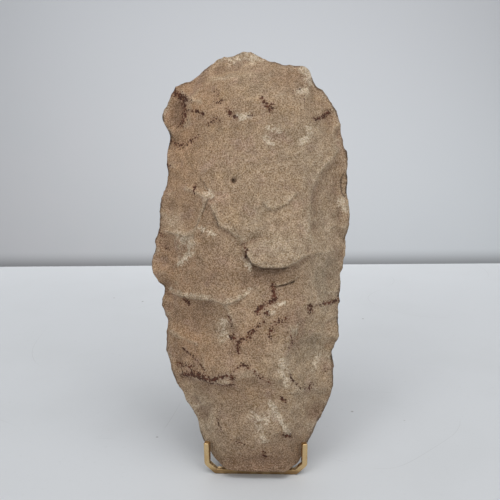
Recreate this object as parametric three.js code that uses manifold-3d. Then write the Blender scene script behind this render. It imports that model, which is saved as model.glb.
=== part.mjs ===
// Flaked stone hand axe leaning back in a small display stand of square brass wire.
// Millimetres, +Z up. The shown face of the stone looks towards -Y.
import * as THREE from "three";
import { mergeVertices } from "three/addons/utils/BufferGeometryUtils.js";
import Module from "manifold-3d";

const wasm = await Module();
wasm.setup();

// Stone: driving dimensions
const AXE_LENGTH = 184;
const AXE_THICKNESS = 38;
const EDGE_THICKNESS = 1.6;
const BUTT_FRONT = 5.4;
const BUTT_BACK = 3;
const LEAN = THREE.MathUtils.degToRad(16.5);

// Stand: driving dimensions
const WIRE = 2.4;
const WIRE_CHAMFER = 0.3;
const PRONG_SPAN = 45;
const PRONG_HEIGHT = 15;
const PRONG_TWIST = THREE.MathUtils.degToRad(17);
const CORNER_RISE = 3.8;
const BASE_DEPTH = 64;
const RUNNER_FRONT_SPACING = 24;
const RUNNER_REAR_SPACING = 50;
const REST_SPACING = 30;
const REST_HEIGHT = 74;
const REST_FOOT_BACK = 12;

// Fits between the stone and the stand: the gap between them, how far behind the front bar's middle the
// stone's own middle plane stands, and how many times thicker a leaning wire is when measured level.
const CLEARANCE = 0.3;
const STONE_BACK = 0.5;
const LEANING_WIRE = 1.1;

// In wire widths: how far a prong is sunk into its corner, and how far below the rest's top bar its
// uprights no longer count as the bar.
const PRONG_SINK = 0.25;
const BAR_ZONE = 3;

// Facets of the stone: how long and wide a cell of its faces is, and how many points sample the outline
const FACET = 2.9;
const OUTLINE_SAMPLES = 900;

// Outline of the stone seen from the front, as shares of its length: across, then up from the butt.
// It runs from the butt up the left side, over the top and down the right side.
const OUTLINE = [
  [-0.014, 0.0], [-0.057, 0.002], [-0.089, 0.008], [-0.11, 0.026], [-0.133, 0.066], [-0.143, 0.106],
  [-0.163, 0.147], [-0.192, 0.2], [-0.208, 0.245], [-0.218, 0.289], [-0.215, 0.351], [-0.225, 0.387],
  [-0.222, 0.426], [-0.243, 0.46], [-0.252, 0.493], [-0.248, 0.531], [-0.233, 0.597], [-0.231, 0.642],
  [-0.217, 0.693], [-0.215, 0.75], [-0.209, 0.795], [-0.229, 0.842], [-0.215, 0.885], [-0.194, 0.928],
  [-0.164, 0.936], [-0.106, 0.975], [-0.062, 0.993], [-0.019, 1.0], [0.017, 0.985], [0.069, 0.97],
  [0.12, 0.955], [0.141, 0.926], [0.167, 0.895], [0.198, 0.849], [0.207, 0.795], [0.22, 0.74],
  [0.219, 0.668], [0.225, 0.615], [0.22, 0.565], [0.215, 0.512], [0.201, 0.455], [0.199, 0.368],
  [0.199, 0.318], [0.182, 0.274], [0.188, 0.241], [0.183, 0.186], [0.163, 0.135], [0.146, 0.097],
  [0.123, 0.051], [0.103, 0.012], [0.082, 0.001], [0.038, 0.0],
];
const CENTRE_UP = 0.5;
const HALF_WIDTH = 0.235;
const CELLS_LONG = Math.round(AXE_LENGTH / FACET);
const CELLS_WIDE = Math.round((2 * HALF_WIDTH * AXE_LENGTH) / FACET);

// Body under the scars, as shares of the length: how far in the edge bevel runs, where the stone is
// thickest, how much it falls away across and along, and where the relief starts inside the edge.
const BEVEL_REACH = 0.17;
const THICKEST_UP = 0.44;
const CROSS_DOME = 0.3;
const LONG_DOME = 0.22;
const RIM_FADE = 0.03;

// The faces stop just inside the outline, and the rim's ridge lies on it.
const FACE_INSET = 0.988;

// The edge wanders out of the middle plane in waves: waves round the stone, height, phase. Beside the
// prongs it lies further back instead, up to the height where the waves are full.
const EDGE_WAVES = [[3, 0.006, 1], [8, 0.004, 2]];
const PRONG_BACKSET = 0.012;
const PRONG_ZONE = [0.03, 0.16];

// Relief is placed as it is seen from a point in front of the stone: across, up and distance, as shares
// of the length.
const SEEN_FROM = { across: -0.014, up: 0.52, distance: 1.75 };

// Flake scars of the front, as shares of the length: across, up, half width, half height, depth,
// then the turn in degrees.
const FRONT_SCARS = [
  [0.188, 0.635, 0.075, 0.13, 0.014, 0],
  [0.0, 0.73, 0.12, 0.15, 0.008, 0],
  [-0.215, 0.857, 0.055, 0.055, 0.014, 15],
  [-0.175, 0.611, 0.062, 0.055, 0.014, 20],
  [-0.2, 0.512, 0.07, 0.05, 0.012, -10],
  [0.02, 0.43, 0.1, 0.06, 0.01, 5],
  [-0.145, 0.352, 0.09, 0.055, 0.015, -20],
  [-0.18, 0.262, 0.06, 0.045, 0.011, -30],
  [-0.012, 0.145, 0.11, 0.08, 0.015, 0],
  [0.145, 0.3, 0.06, 0.1, 0.013, 0],
  [0.135, 0.13, 0.055, 0.06, 0.011, 25],
  [0.17, 0.86, 0.05, 0.06, 0.012, 25],
  [-0.05, 0.975, 0.085, 0.035, 0.011, 8],
  [0.09, 0.93, 0.06, 0.04, 0.009, -8],
  [0.19, 0.445, 0.05, 0.055, 0.011, 0],
  [-0.14, 0.145, 0.05, 0.065, 0.011, -25],
];

// Step left where a flake broke off short, at the middle of the front: across, then up.
const LIP = [[-0.03, 0.545], [-0.012, 0.492], [0.064, 0.487], [0.092, 0.494], [0.124, 0.516]];
const LIP_HEIGHT = 0.0065;
const LIP_RISE = 0.07;
const LIP_DROP = 0.012;

// Scars of the hidden back: broad ones struck from the edge, evenly spaced, plainer than the front.
const BACK_SCARS = 13;
const BACK_SCAR_SIZE = [0.075, 0.1];
const BACK_SCAR_DEPTH = 0.013;
const BACK_SCAR_REACH = 0.78;
const BACK_SCAR_SPREAD = 0.4;
const BACK_SCAR_TURN = 50;

// The blunt butt is full thickness up to the first share across and gone at the second.
const BUTT_ACROSS = [0.065, 0.1];
const BUTT_UP = 0.1;

const smooth = THREE.MathUtils.smoothstep;

// Small repeatable number between 0 and 1
function scatter(index) {
  const wave = Math.sin(index * 12.9898) * 43758.5453;
  return wave - Math.floor(wave);
}

// Radius of the outline in each direction, in a plane where the stone is about as wide as it is long
function outlineRadii() {
  const points = OUTLINE.map(([across, up]) => {
    return new THREE.Vector3(across / HALF_WIDTH, (up - CENTRE_UP) / CENTRE_UP, 0);
  });
  const curve = new THREE.CatmullRomCurve3(points, true, "centripetal");
  const samples = curve.getPoints(OUTLINE_SAMPLES).slice(0, -1);
  const polar = samples.map((p) => [Math.atan2(p.y, p.x), Math.hypot(p.x, p.y)]);
  polar.sort((a, b) => a[0] - b[0]);
  return polar;
}

const RADII = outlineRadii();
const EDGE_POINTS = RADII.map(([angle, radius]) => {
  return [radius * HALF_WIDTH * Math.cos(angle), CENTRE_UP + radius * CENTRE_UP * Math.sin(angle)];
});

// Distance of a point inside the outline to its nearest edge, as a share of the length
function edgeDistance(across, up) {
  let nearest = Infinity;
  for (const [x, y] of EDGE_POINTS) nearest = Math.min(nearest, (across - x) ** 2 + (up - y) ** 2);
  return Math.sqrt(nearest);
}

function outlineRadius(angle) {
  let low = 0;
  let high = RADII.length;
  while (low < high) {
    const middle = (low + high) >> 1;
    if (RADII[middle][0] < angle) low = middle + 1;
    else high = middle;
  }
  const after = RADII[low % RADII.length];
  const before = RADII[(low + RADII.length - 1) % RADII.length];
  let step = after[0] - before[0];
  let part = angle - before[0];
  if (step < 0) step += 2 * Math.PI;
  if (part < 0) part += 2 * Math.PI;
  return before[1] + (after[1] - before[1]) * Math.min(1, part / step);
}

// Point of the unit disc for a point of the square from -1 to 1, with even cells
function discPoint(a, b) {
  if (a === 0 && b === 0) return { reach: 0, angle: 0 };
  const wide = Math.abs(a) > Math.abs(b);
  const reach = wide ? a : b;
  const angle = wide ? (Math.PI / 4) * (b / a) : Math.PI / 2 - (Math.PI / 4) * (a / b);
  return { reach: Math.abs(reach), angle: Math.atan2(reach * Math.sin(angle), reach * Math.cos(angle)) };
}

// Deepest cut of a list of scars at a point; each scar is a shallow bowl
function scarDepth(scars, across, up) {
  let depth = 0;
  for (const [x, y, wide, high, deep, turn] of scars) {
    const t = THREE.MathUtils.degToRad(turn);
    const dx = (across - x) * Math.cos(t) + (up - y) * Math.sin(t);
    const dy = (up - y) * Math.cos(t) - (across - x) * Math.sin(t);
    const away = (dx / wide) ** 2 + (dy / high) ** 2;
    depth = Math.max(depth, deep * (1 - away));
  }
  return depth;
}

function backScars() {
  const scars = [];
  for (let i = 0; i < BACK_SCARS; i++) {
    const angle = (2 * Math.PI * (i + BACK_SCAR_SPREAD * scatter(i + 1))) / BACK_SCARS - Math.PI;
    const reach = BACK_SCAR_REACH * outlineRadius(angle);
    const x = reach * HALF_WIDTH * Math.cos(angle);
    const y = CENTRE_UP + reach * CENTRE_UP * Math.sin(angle);
    const size = 1 + BACK_SCAR_SPREAD * (scatter(i + 20) - 0.5);
    const turn = BACK_SCAR_TURN * (scatter(i + 40) - 0.5);
    const [wide, high] = BACK_SCAR_SIZE;
    scars.push([x, y, wide * size, high * size, BACK_SCAR_DEPTH * size, turn]);
  }
  return scars;
}

// Proud edge of the broken-off flake: sharp below the line, fading out above it
function lipHeight(across, up) {
  const last = LIP.length - 1;
  if (across < LIP[0][0] || across > LIP[last][0]) return 0;
  const next = LIP.findIndex(([x]) => x >= across) || 1;
  const [x0, y0] = LIP[next - 1];
  const [x1, y1] = LIP[next];
  const over = up - (y0 + ((y1 - y0) * (across - x0)) / (x1 - x0));
  const fade = over > 0 ? Math.exp(-over / LIP_RISE) : Math.exp(over / LIP_DROP);
  const middle = (LIP[0][0] + LIP[last][0]) / 2;
  const span = (LIP[last][0] - LIP[0][0]) / 2;
  return LIP_HEIGHT * fade * (1 - ((across - middle) / span) ** 4);
}

// Height of a face at the edge: thin all round, blunt at the butt, and more so in front than behind
function edgeHeight(side, across, up) {
  const blunt = (1 - smooth(Math.abs(across), ...BUTT_ACROSS)) * (1 - smooth(up, 0, BUTT_UP));
  const butt = side < 0 ? BUTT_FRONT : BUTT_BACK;
  return EDGE_THICKNESS / 2 + (butt - EDGE_THICKNESS / 2) * blunt;
}

function edgeWander(angle, up) {
  const above = smooth(up, ...PRONG_ZONE);
  let wave = 0;
  for (const [count, height, phase] of EDGE_WAVES) wave += height * Math.sin(count * angle + phase);
  return wave * above + PRONG_BACKSET * (1 - above) * smooth(up, 0, PRONG_ZONE[0]);
}

const BACK = backScars();

// Height of a face over the middle plane, in millimetres
function faceHeight(side, across, up) {
  const rim = edgeHeight(side, across, up);
  const inside = edgeDistance(across, up);
  const crossFall = CROSS_DOME * (across / HALF_WIDTH) ** 2;
  const longFall = LONG_DOME * ((up - THICKEST_UP) / CENTRE_UP) ** 2;
  const bevel = 1 - (1 - Math.min(1, inside / BEVEL_REACH)) ** 2;
  const lens = rim + (AXE_THICKNESS / 2 - rim) * (1 - crossFall - longFall) * bevel;
  const fade = smooth(inside, 0, RIM_FADE);
  const nearer = SEEN_FROM.distance / (SEEN_FROM.distance - lens / AXE_LENGTH);
  const seenAcross = SEEN_FROM.across + (across - SEEN_FROM.across) * nearer;
  const seenUp = SEEN_FROM.up + (up - SEEN_FROM.up) * nearer;
  const frontRelief = lipHeight(seenAcross, seenUp) - scarDepth(FRONT_SCARS, seenAcross, seenUp);
  const relief = side < 0 ? frontRelief : -scarDepth(BACK, across, up);
  return lens + AXE_LENGTH * relief * fade;
}

// Across and up of the point at a share of the way from the stone's centre to its outline
function placeInside(share, angle) {
  const radius = share * outlineRadius(angle);
  return [radius * HALF_WIDTH * Math.cos(angle), CENTRE_UP + radius * CENTRE_UP * Math.sin(angle)];
}

// Height up the stone, sheared so that the underside of the butt is level once the stone leans
function levelled(up, depth) {
  return AXE_LENGTH * up + depth * Math.tan(LEAN) * (1 - smooth(up, 0, BUTT_UP));
}

// Grid places of the rim in order round the stone, seen from the front
function rimPlaces() {
  const places = [];
  for (let j = 0; j < CELLS_WIDE; j++) places.push([0, j]);
  for (let i = 0; i < CELLS_LONG; i++) places.push([i, CELLS_WIDE]);
  for (let j = CELLS_WIDE; j > 0; j--) places.push([CELLS_LONG, j]);
  for (let i = CELLS_LONG; i > 0; i--) places.push([i, 0]);
  return places;
}

// The stone as one closed mesh: two faces on the same grid, joined by a rim with a ridge on the outline
function stoneGeometry() {
  const positions = [];
  const triangles = [];
  const addVertex = (x, y, z) => positions.push(x, y, z) / 3 - 1;
  const front = [];
  const back = [];
  const ridge = [];
  for (let i = 0; i <= CELLS_LONG; i++) {
    for (let j = 0; j <= CELLS_WIDE; j++) {
      const { reach, angle } = discPoint((2 * j) / CELLS_WIDE - 1, (2 * i) / CELLS_LONG - 1);
      const [across, up] = placeInside(reach * FACE_INSET, angle);
      const shift = AXE_LENGTH * edgeWander(angle, up) * reach ** 2;
      const frontDepth = shift - faceHeight(-1, across, up);
      const backDepth = shift + faceHeight(1, across, up);
      front.push(addVertex(AXE_LENGTH * across, frontDepth, levelled(up, frontDepth)));
      back.push(addVertex(AXE_LENGTH * across, backDepth, levelled(up, backDepth)));
      if (i === 0 || j === 0 || i === CELLS_LONG || j === CELLS_WIDE) {
        const [ridgeAcross, ridgeUp] = placeInside(1, angle);
        ridge[front.length - 1] = addVertex(AXE_LENGTH * ridgeAcross, shift, levelled(ridgeUp, shift));
      }
    }
  }
  const at = (i, j) => i * (CELLS_WIDE + 1) + j;
  for (let i = 0; i < CELLS_LONG; i++) {
    for (let j = 0; j < CELLS_WIDE; j++) {
      const [a, b, c, d] = [at(i, j), at(i, j + 1), at(i + 1, j + 1), at(i + 1, j)];
      triangles.push(front[a], front[b], front[c], front[a], front[c], front[d]);
      triangles.push(back[a], back[c], back[b], back[a], back[d], back[c]);
    }
  }
  const places = rimPlaces().map(([i, j]) => at(i, j));
  places.forEach((here, k) => {
    const next = places[(k + 1) % places.length];
    triangles.push(front[here], ridge[here], ridge[next], front[here], ridge[next], front[next]);
    triangles.push(ridge[here], back[here], back[next], ridge[here], back[next], ridge[next]);
  });
  const geometry = new THREE.BufferGeometry();
  geometry.setAttribute("position", new THREE.Float32BufferAttribute(positions, 3));
  geometry.setIndex(triangles);
  geometry.computeVertexNormals();
  return geometry;
}

function solidOf(geometry) {
  const bare = geometry.clone();
  bare.deleteAttribute("normal");
  bare.deleteAttribute("uv");
  const merged = mergeVertices(bare, 1e-5);
  return new wasm.Manifold(new wasm.Mesh({
    numProp: 3,
    vertProperties: new Float32Array(merged.attributes.position.array),
    triVerts: new Uint32Array(merged.index.array),
  }));
}

function geometryOf(solid) {
  const mesh = solid.getMesh();
  const geometry = new THREE.BufferGeometry();
  geometry.setAttribute("position", new THREE.BufferAttribute(mesh.vertProperties, 3));
  geometry.setIndex(new THREE.BufferAttribute(mesh.triVerts, 1));
  return geometry;
}

// One straight length of square wire from a to b. One pair of its faces looks along the given direction.
function wireLength(a, b, facing) {
  const half = WIRE / 2;
  const flat = half - WIRE_CHAMFER;
  const corners = [[half, flat], [flat, half], [-flat, half], [-half, flat]];
  const opposite = corners.map(([x, y]) => [-x, -y]);
  const section = new THREE.Shape([...corners, ...opposite].map(([x, y]) => new THREE.Vector2(x, y)));
  const along = b.clone().sub(a);
  const geometry = new THREE.ExtrudeGeometry(section, { depth: along.length(), bevelEnabled: false });
  const zAxis = along.clone().normalize();
  const yAxis = facing.clone().addScaledVector(zAxis, -facing.dot(zAxis)).normalize();
  const xAxis = yAxis.clone().cross(zAxis);
  geometry.applyMatrix4(new THREE.Matrix4().makeBasis(xAxis, yAxis, zAxis).setPosition(a));
  return solidOf(geometry);
}

// A bent wire through the points; each length runs on into the bend so that its outer corner is full.
function bentWire(points, facing) {
  let wire = null;
  for (let i = 0; i + 1 < points.length; i++) {
    const along = points[i + 1].clone().sub(points[i]).normalize();
    const reach = (other) => (WIRE / 2) * Math.tan(along.angleTo(other) / 2);
    const from = points[i].clone();
    const to = points[i + 1].clone();
    if (i > 0) from.addScaledVector(along, -reach(points[i].clone().sub(points[i - 1])));
    if (i + 2 < points.length) to.addScaledVector(along, reach(points[i + 2].clone().sub(points[i + 1])));
    const length = wireLength(from, to, facing);
    wire = wire ? wire.add(length) : length;
  }
  return wire;
}

function placedPoints(mesh) {
  mesh.updateMatrixWorld(true);
  const { position } = mesh.geometry.attributes;
  const points = [];
  for (let i = 0; i < position.count; i++) {
    points.push(new THREE.Vector3().fromBufferAttribute(position, i).applyMatrix4(mesh.matrixWorld));
  }
  return points;
}

// Middle line of the rest's wire: its top bar touches the stone's back, and its feet stand far enough
// back for the uprights to clear the stone all the way up.
function restPlace(stonePoints) {
  const low = WIRE / 2;
  const top = REST_HEIGHT - WIRE / 2;
  const across = REST_SPACING / 2;
  const clear = CLEARANCE + (LEANING_WIRE * WIRE) / 2;
  const cell = AXE_LENGTH / CELLS_LONG;
  const behindTop = stonePoints.filter((p) => Math.abs(p.x) < across && Math.abs(p.z - top) < cell);
  const topBack = Math.max(...behindTop.map((p) => p.y)) + clear;
  const nearBar = top - BAR_ZONE * WIRE;
  const beside = stonePoints.filter((p) => Math.abs(Math.abs(p.x) - across) < cell && p.z < nearBar);
  const needed = beside.map((p) => {
    const share = (p.z - low) / (top - low);
    return (p.y + clear - topBack * share) / (1 - share);
  });
  return { top, topBack, footBack: Math.max(REST_FOOT_BACK, ...needed) };
}

// Front bar with its two prongs, the base behind it and the leaning rest, brazed into one
function standGeometry(stone) {
  const level = WIRE / 2;
  const frontFacing = new THREE.Vector3(0, 1, 0);
  const prongX = (PRONG_SPAN - WIRE) / 2;
  const cornerX = prongX - CORNER_RISE;
  const corners = [-1, 1].map((side) => new THREE.Vector3(side * prongX, 0, level + CORNER_RISE));
  const barEnds = [-1, 1].map((side) => new THREE.Vector3(side * cornerX, 0, level));
  let stand = bentWire([corners[0], barEnds[0], barEnds[1], corners[1]], frontFacing);
  for (const side of [-1, 1]) {
    const elbow = corners[(side + 1) / 2];
    const prongFoot = elbow.clone().setZ(elbow.z - PRONG_SINK * WIRE);
    const prongTop = elbow.clone().setZ(PRONG_HEIGHT);
    const facing = new THREE.Vector3(side * Math.sin(PRONG_TWIST), Math.cos(PRONG_TWIST), 0);
    stand = stand.add(wireLength(prongFoot, prongTop, facing));
  }
  const rearY = BASE_DEPTH - WIRE;
  const base = bentWire([
    new THREE.Vector3(-RUNNER_FRONT_SPACING / 2, 0, level),
    new THREE.Vector3(-RUNNER_REAR_SPACING / 2, rearY, level),
    new THREE.Vector3(RUNNER_REAR_SPACING / 2, rearY, level),
    new THREE.Vector3(RUNNER_FRONT_SPACING / 2, 0, level),
  ], new THREE.Vector3(0, 0, 1));
  const { top, topBack, footBack } = restPlace(placedPoints(stone));
  const across = REST_SPACING / 2;
  const splay = (RUNNER_REAR_SPACING - RUNNER_FRONT_SPACING) / rearY;
  const footX = (RUNNER_FRONT_SPACING + splay * footBack) / 2;
  const rest = bentWire([
    new THREE.Vector3(-footX, footBack, level),
    new THREE.Vector3(-across, topBack, top),
    new THREE.Vector3(across, topBack, top),
    new THREE.Vector3(footX, footBack, level),
  ], frontFacing);
  return geometryOf(stand.add(base).add(rest));
}

const stoneMaterial = new THREE.MeshStandardMaterial({ color: 0x977f68, roughness: 0.95, metalness: 0 });
const brassMaterial = new THREE.MeshStandardMaterial({ color: 0xc79f5c, roughness: 0.28, metalness: 1 });

const group = new THREE.Group();
group.name = "hand_axe_on_stand";

const stone = new THREE.Mesh(stoneGeometry(), stoneMaterial);
stone.name = "hand_axe";
stone.rotation.x = -LEAN;
stone.position.set(0, STONE_BACK, 0);
const lowest = Math.min(...placedPoints(stone).map((point) => point.z));
stone.position.z = WIRE + CLEARANCE - lowest;
group.add(stone);

const stand = new THREE.Mesh(standGeometry(stone), brassMaterial);
stand.name = "display_stand";
group.add(stand);

// The origin is on the ground at the middle of the whole object.
const bounds = new THREE.Box3().setFromObject(group, true);
const middle = bounds.getCenter(new THREE.Vector3());
for (const piece of [stone, stand]) piece.position.sub(new THREE.Vector3(middle.x, middle.y, bounds.min.z));

export default group;
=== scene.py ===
"""Flaked stone hand axe leaning back in a small stand of square brass wire.

Lengths are millimetres and turned into metres where objects are made. Places on the front of the stone are
photograph pixels, because the camera stands where the photograph was taken from.
"""
import math

import bmesh
import bpy
import numpy as np
from mathutils import Matrix, Vector
from mathutils.kdtree import KDTree


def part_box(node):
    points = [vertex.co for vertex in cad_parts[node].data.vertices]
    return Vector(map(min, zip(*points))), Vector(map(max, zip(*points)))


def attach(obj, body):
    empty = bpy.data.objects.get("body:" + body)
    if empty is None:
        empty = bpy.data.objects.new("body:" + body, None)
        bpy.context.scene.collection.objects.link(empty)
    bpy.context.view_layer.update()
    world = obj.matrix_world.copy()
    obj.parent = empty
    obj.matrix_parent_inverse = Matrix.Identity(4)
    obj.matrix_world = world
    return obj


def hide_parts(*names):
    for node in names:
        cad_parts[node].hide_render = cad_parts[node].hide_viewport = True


MM = 0.001
SEED = 7
HASH_SCALE = 43758.5453

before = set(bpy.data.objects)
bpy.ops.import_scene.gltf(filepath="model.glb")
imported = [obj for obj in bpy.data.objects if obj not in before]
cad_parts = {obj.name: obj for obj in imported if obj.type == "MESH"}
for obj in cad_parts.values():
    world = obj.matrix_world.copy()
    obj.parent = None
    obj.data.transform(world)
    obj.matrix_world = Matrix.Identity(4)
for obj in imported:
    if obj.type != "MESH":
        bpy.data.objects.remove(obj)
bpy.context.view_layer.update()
stone_low, stone_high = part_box("hand_axe")
stand_low, stand_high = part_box("display_stand")

# Camera: where it stands in millimetres, how it is turned in degrees, and its lens
CAMERA_AT = np.array([14.3, -320.3, 185.3])
CAMERA_YAW = math.radians(-2.59)
CAMERA_PITCH = math.radians(15.81)
CAMERA_ROLL = math.radians(0.69)
CAMERA_TURN = (
    Matrix.Rotation(-CAMERA_YAW, 3, "Z")
    @ Matrix.Rotation(math.pi / 2 - CAMERA_PITCH, 3, "X")
    @ Matrix.Rotation(-CAMERA_ROLL, 3, "Z")
)
LENS = 54
SENSOR = 36
PHOTO_SIDE = 500

# Stone: driving dimensions and mesh density
AXE_LENGTH = 184
AXE_THICKNESS = 38
EDGE_THICKNESS = 1.6
BUTT_FRONT = 5.4
BUTT_BACK = 3
LEAN = math.radians(16.5)
FRONT_CELLS = (376, 180)
BACK_CELLS = (188, 90)
SPAN_SAMPLES = 60

# How much of the stone's face one photograph pixel covers, in millimetres
PIXEL = 0.442

# Outline seen from the front, as shares of the length: across, then up from the butt
OUTLINE = [
    (-0.014, 0), (-0.057, 0.002), (-0.089, 0.008), (-0.11, 0.026), (-0.133, 0.066), (-0.143, 0.106),
    (-0.163, 0.147), (-0.192, 0.2), (-0.208, 0.245), (-0.218, 0.289), (-0.215, 0.351), (-0.225, 0.387),
    (-0.222, 0.426), (-0.243, 0.46), (-0.252, 0.493), (-0.248, 0.531), (-0.233, 0.597), (-0.231, 0.642),
    (-0.217, 0.693), (-0.215, 0.75), (-0.209, 0.795), (-0.229, 0.842), (-0.215, 0.885), (-0.194, 0.928),
    (-0.164, 0.936), (-0.106, 0.975), (-0.062, 0.993), (-0.019, 1), (0.017, 0.985), (0.069, 0.97),
    (0.12, 0.955), (0.141, 0.926), (0.167, 0.895), (0.198, 0.849), (0.207, 0.795), (0.22, 0.74),
    (0.219, 0.668), (0.225, 0.615), (0.22, 0.565), (0.215, 0.512), (0.201, 0.455), (0.199, 0.368),
    (0.199, 0.318), (0.182, 0.274), (0.188, 0.241), (0.183, 0.186), (0.163, 0.135), (0.146, 0.097),
    (0.123, 0.051), (0.103, 0.012), (0.082, 0.001), (0.038, 0),
]
CENTRE_UP = 0.5
HALF_WIDTH = 0.235

# Body under the scars, as shares of the length
BEVEL_REACH = 0.17
THICKEST_UP = 0.44
CROSS_DOME = 0.3
LONG_DOME = 0.22
RIM_FADE = 0.03
FACE_INSET = 0.988
BUTT_ACROSS = (0.065, 0.1)
BUTT_UP = 0.1
EDGE_WAVES = ((3, 0.006, 1), (8, 0.004, 2))
FINE_EDGE_WAVES = ((19, 0.0016, 0.5), (31, 0.0013, 4), (53, 0.0007, 2))
PRONG_BACKSET = 0.012
PRONG_ZONE = (0.03, 0.16)
SEEN_FROM = (-0.014, 0.52, 1.75)

# Flake scars of the front: across, up, half width, half height, depth, turn in degrees
FRONT_SCARS = [
    (0.188, 0.635, 0.075, 0.13, 0.014, 0), (0, 0.73, 0.12, 0.15, 0.008, 0),
    (-0.215, 0.857, 0.055, 0.055, 0.014, 15), (-0.175, 0.611, 0.062, 0.055, 0.014, 20),
    (-0.2, 0.512, 0.07, 0.05, 0.012, -10), (0.02, 0.43, 0.1, 0.06, 0.01, 5),
    (-0.145, 0.352, 0.09, 0.055, 0.015, -20), (-0.18, 0.262, 0.06, 0.045, 0.011, -30),
    (-0.012, 0.145, 0.11, 0.08, 0.015, 0), (0.145, 0.3, 0.06, 0.1, 0.013, 0),
    (0.135, 0.13, 0.055, 0.06, 0.011, 25), (0.17, 0.86, 0.05, 0.06, 0.012, 25),
    (-0.05, 0.975, 0.085, 0.035, 0.011, 8), (0.09, 0.93, 0.06, 0.04, 0.009, -8),
    (0.19, 0.445, 0.05, 0.055, 0.011, 0), (-0.14, 0.145, 0.05, 0.065, 0.011, -25),
]

# Flake scars of the hidden back, set round the edge
BACK_SCARS = 13
BACK_SCAR_SIZE = (0.075, 0.1)
BACK_SCAR_DEPTH = 0.013
BACK_SCAR_REACH = 0.78
BACK_SCAR_SPREAD = 0.4
BACK_SCAR_TURN = 50

# Broken steps of the front: photograph pixels along the step, its proud side on the left of the way it runs,
# then how high it stands, how far it fades on the proud side and how far on the low side, in millimetres
STEPS = [
    ([(242, 244), (246, 254), (252, 263.5), (262, 267.5), (283, 267.5), (294, 263.5), (301, 258),
        (310, 254)], 2.6, 9, 0.5),
    ([(208, 200), (213, 212), (218, 225), (229, 231), (238, 238), (243, 246)], 1.5, 8, 0.5),
    ([(191, 240), (197.5, 224), (202, 212), (210, 192)], 1.6, 7, 0.6),
    ([(199, 230), (206, 232), (215, 234)], 0.35, 2.5, 0.6),
    ([(190, 238), (188, 251), (174, 265)], 0.8, 4, 0.6),
    ([(158, 229), (174, 233), (191, 238)], 0.8, 4, 0.6),
    ([(163, 290), (187, 298), (212, 300), (224, 304.5), (238, 300), (250, 292)], 1.8, 7, 0.7),
    ([(224, 304), (231, 318), (233, 330)], 1, 5, 0.8),
    ([(274, 286.5), (285, 283.5), (293, 280.5), (299, 275)], 0.9, 4, 0.5),
    ([(316, 252), (310, 233), (309, 213), (312, 190), (318, 174), (333, 157), (348, 139)], 1.7, 8, 1.3),
    ([(291, 266), (303, 256), (314, 253), (327, 252), (347, 247)], 1.3, 7, 1.8),
    ([(349, 198), (343, 193), (340, 183), (348, 171)], 1.1, 3, 0.5),
    ([(175, 83), (186, 98), (194, 101), (204, 104)], 1.3, 6, 0.9),
    ([(185, 110), (194, 110), (203, 113)], 0.3, 2, 0.4), ([(186, 97), (183, 116), (179, 127)], 0.5, 4, 1.5),
    ([(294, 91), (303, 86), (313, 80)], 0.55, 3, 0.5),
    ([(315, 119), (323, 114), (330, 110.5), (339, 107)], 0.9, 4, 0.5),
    ([(261, 200), (266, 206), (273, 209.5), (288, 203), (299, 190)], 1.1, 5, 0.5),
    ([(287, 229), (294, 224), (303, 225), (309, 231)], 0.5, 3, 0.6),
    ([(246, 268), (249, 278), (254, 288), (262, 292)], 0.6, 2.5, 0.5),
    ([(231, 98), (240, 92), (252, 90), (263, 94)], 0.5, 4, 1.2),
    ([(174, 371), (186, 376), (198, 379), (210, 382.5), (222, 384.5), (234, 384)], 1.7, 6, 0.5),
    ([(232, 385), (241, 377.5), (254, 376.5), (267, 382.5), (276, 391)], 1, 6, 1),
    ([(180, 346), (198, 362.5), (208, 374)], 0.6, 4, 0.5),
    ([(311, 387), (298, 386), (290, 375), (287, 358), (289, 340), (300, 325)], 1.3, 6, 1.2),
    ([(292, 436), (281, 418), (275, 403), (267, 387)], 0.7, 3, 1.2),
    ([(274, 453), (283, 449), (293, 448)], 0.3, 2.5, 0.6),
    ([(314, 432), (306, 420), (303, 408), (309, 396)], 0.9, 4, 1.3),
]
STEP_TAPER = 0.12

# Broken steps of the hidden back: millimetres across and up from the butt, then as above
BACK_STEPS = [
    ([(-24, 122), (-14, 114), (0, 112), (12, 118), (22, 130)], 1.5, 9, 0.9),
    ([(20, 96), (10, 90), (-4, 92), (-15, 84), (-18, 72)], 1.2, 8, 0.9),
    ([(-34, 100), (-26, 96), (-19, 87), (-17, 76)], 1, 7, 1.2),
    ([(33, 108), (26, 100), (24, 86), (27, 74)], 1.1, 7, 1.4),
    ([(-20, 56), (-10, 50), (2, 52), (12, 46), (16, 36)], 1.2, 7, 1),
    ([(-14, 160), (-2, 152), (10, 156), (18, 164)], 0.9, 6, 1),
    ([(27, 60), (20, 54), (18, 42), (21, 32)], 0.9, 6, 1.2),
]

# Painted highlight on ridges and painted shade in hollows: how far the relief is blurred, in cells, and how
# high counts as full highlight
RELIEF_SHADE_BLUR = 4
RELIEF_SHADE_BLURS = 3
RELIEF_SHADE_RANGE = 1.6

# Flakes nipped off all round the edge: how many on each face, how large and how deep in millimetres, how
# evenly spaced, how far out as a share, how tall for their width, and how far turned in degrees
NIPS = 64
NIP_SIZE = (3.5, 9.5)
NIP_DEPTH = (0.5, 1.7)
NIP_SPACING = 0.8
NIP_OUT = 0.99
NIP_OUT_SPREAD = 0.05
NIP_TALL = (0.6, 1.0)
NIP_TURN = 60
NIP_ZONE = (0.02, 0.12)
RIM_LEAST = 0.35

# Bites out of the outline: how many, half width and depth in millimetres, how far in they reach as a share,
# and where they start above the butt. The outline stands out a little to make up for them
BITES = 230
BITE_WIDTH = (0.8, 3.6)
BITE_DEPTH = (0.25, 1.2)
BITE_REACH = 0.85
BITE_ZONE = (0.03, 0.1)
BITE_BALANCE = 0.5
BALANCE_ZONE = (0.1, 0.2)

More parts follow.
